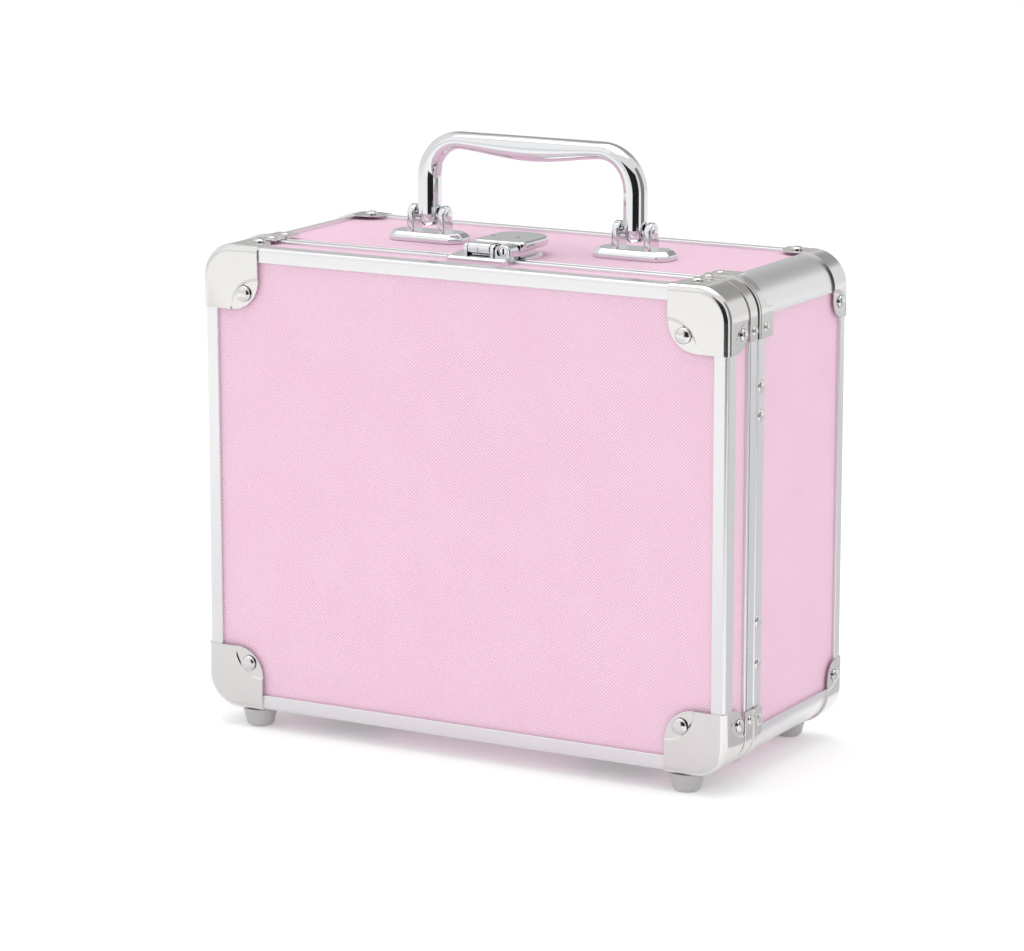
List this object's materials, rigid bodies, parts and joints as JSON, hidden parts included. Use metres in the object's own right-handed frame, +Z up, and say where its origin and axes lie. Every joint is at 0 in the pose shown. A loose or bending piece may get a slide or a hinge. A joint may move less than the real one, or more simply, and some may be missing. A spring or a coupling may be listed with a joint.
{
  "type": "makeup train case",
  "caption": "Small upright aluminium-framed hard case in pink leatherette with a hinged lid, folding chrome handle, keyed flip latch, corner caps and feet.",
  "frame": {"origin": "on the floor under the middle of the case, at the bottom centre of its bounding box", "axes": "+X to the right as seen facing the lid, +Y from the lid to the back, +Z up towards the handle"},
  "size_m": [0.234, 0.108, 0.2378],
  "materials": {
    "pink_leatherette": "PVC leatherette embossed with a fine cross-hatch, laminated on board",
    "satin_aluminium": "extruded, satin anodised",
    "nickel_plate": "pressed steel, bright nickel plated",
    "chrome_plate": "die-cast zinc and steel tube, bright chrome plated",
    "steel": "zinc-plated steel",
    "foot_plastic": "satin silver-grey moulded plastic",
    "foam": "closed-cell EVA foam sheet"
  },
  "bodies": {
    "base": {"back_panel": "pink_leatherette", "base_bottom_frame": "satin_aluminium", "base_bottom_mouth": "satin_aluminium", "base_bottom_wall": "pink_leatherette", "base_edge_rounds": "satin_aluminium", "base_feet": "foot_plastic", "base_foot_screws": "steel", "base_left_frame": "satin_aluminium", "base_left_mouth": "satin_aluminium", "base_left_wall": "pink_leatherette", "base_lining": "foam", "base_right_frame": "satin_aluminium", "base_right_mouth": "satin_aluminium", "base_right_wall": "pink_leatherette", "base_rivets": "nickel_plate", "base_seam_clips": "nickel_plate", "base_top_frame": "satin_aluminium", "base_top_mouth": "satin_aluminium", "base_top_wall": "pink_leatherette", "bracket_screws": "chrome_plate", "handle_brackets": "chrome_plate", "handle_pins": "chrome_plate", "hinge_base_leaves": "steel", "hinge_pins": "steel", "latch_catch_plate": "chrome_plate", "rear_bottom_left_cap": "nickel_plate", "rear_bottom_right_cap": "nickel_plate", "rear_top_left_cap": "nickel_plate", "rear_top_right_cap": "nickel_plate"},
    "lid": {"front_panel": "pink_leatherette", "hinge_lid_leaves": "steel", "latch_hinge_plate": "chrome_plate", "latch_pin": "chrome_plate", "lid_bottom_frame": "satin_aluminium", "lid_bottom_left_cap": "nickel_plate", "lid_bottom_mouth": "satin_aluminium", "lid_bottom_right_cap": "nickel_plate", "lid_bottom_wall": "pink_leatherette", "lid_edge_rounds": "satin_aluminium", "lid_feet": "foot_plastic", "lid_foot_screws": "steel", "lid_left_frame": "satin_aluminium", "lid_left_mouth": "satin_aluminium", "lid_left_wall": "pink_leatherette", "lid_lining": "foam", "lid_right_frame": "satin_aluminium", "lid_right_mouth": "satin_aluminium", "lid_right_wall": "pink_leatherette", "lid_rivets": "nickel_plate", "lid_seam_clips": "nickel_plate", "lid_top_frame": "satin_aluminium", "lid_top_left_cap": "nickel_plate", "lid_top_mouth": "satin_aluminium", "lid_top_right_cap": "nickel_plate", "lid_top_wall": "pink_leatherette"},
    "handle": {"handle_grip": "chrome_plate"},
    "latch_lever": {"latch_lever": "chrome_plate"},
    "lock": {"lock_cylinder": "chrome_plate"}
  },
  "joints": [
    {"name": "lid_hinge", "type": "hinge", "parent": "base", "child": "lid", "pos_m": [0, -0.02675, 0.0063], "axis": [1, 0, 0], "range_deg": [0, 95]},
    {"name": "handle_fold", "type": "hinge", "parent": "base", "child": "handle", "pos_m": [0, 0.00625, 0.20385], "axis": [1, 0, 0], "range_deg": [-88, 80]},
    {"name": "latch_flip", "type": "hinge", "parent": "lid", "child": "latch_lever", "pos_m": [0, -0.02965, 0.1984], "axis": [1, 0, 0], "range_deg": [0, 110]},
    {"name": "lock_turn", "type": "hinge", "parent": "lid", "child": "lock", "pos_m": [0.0094, -0.03365, 0.1984], "axis": [0, -1, 0], "range_deg": [0, 90]}
  ]
}
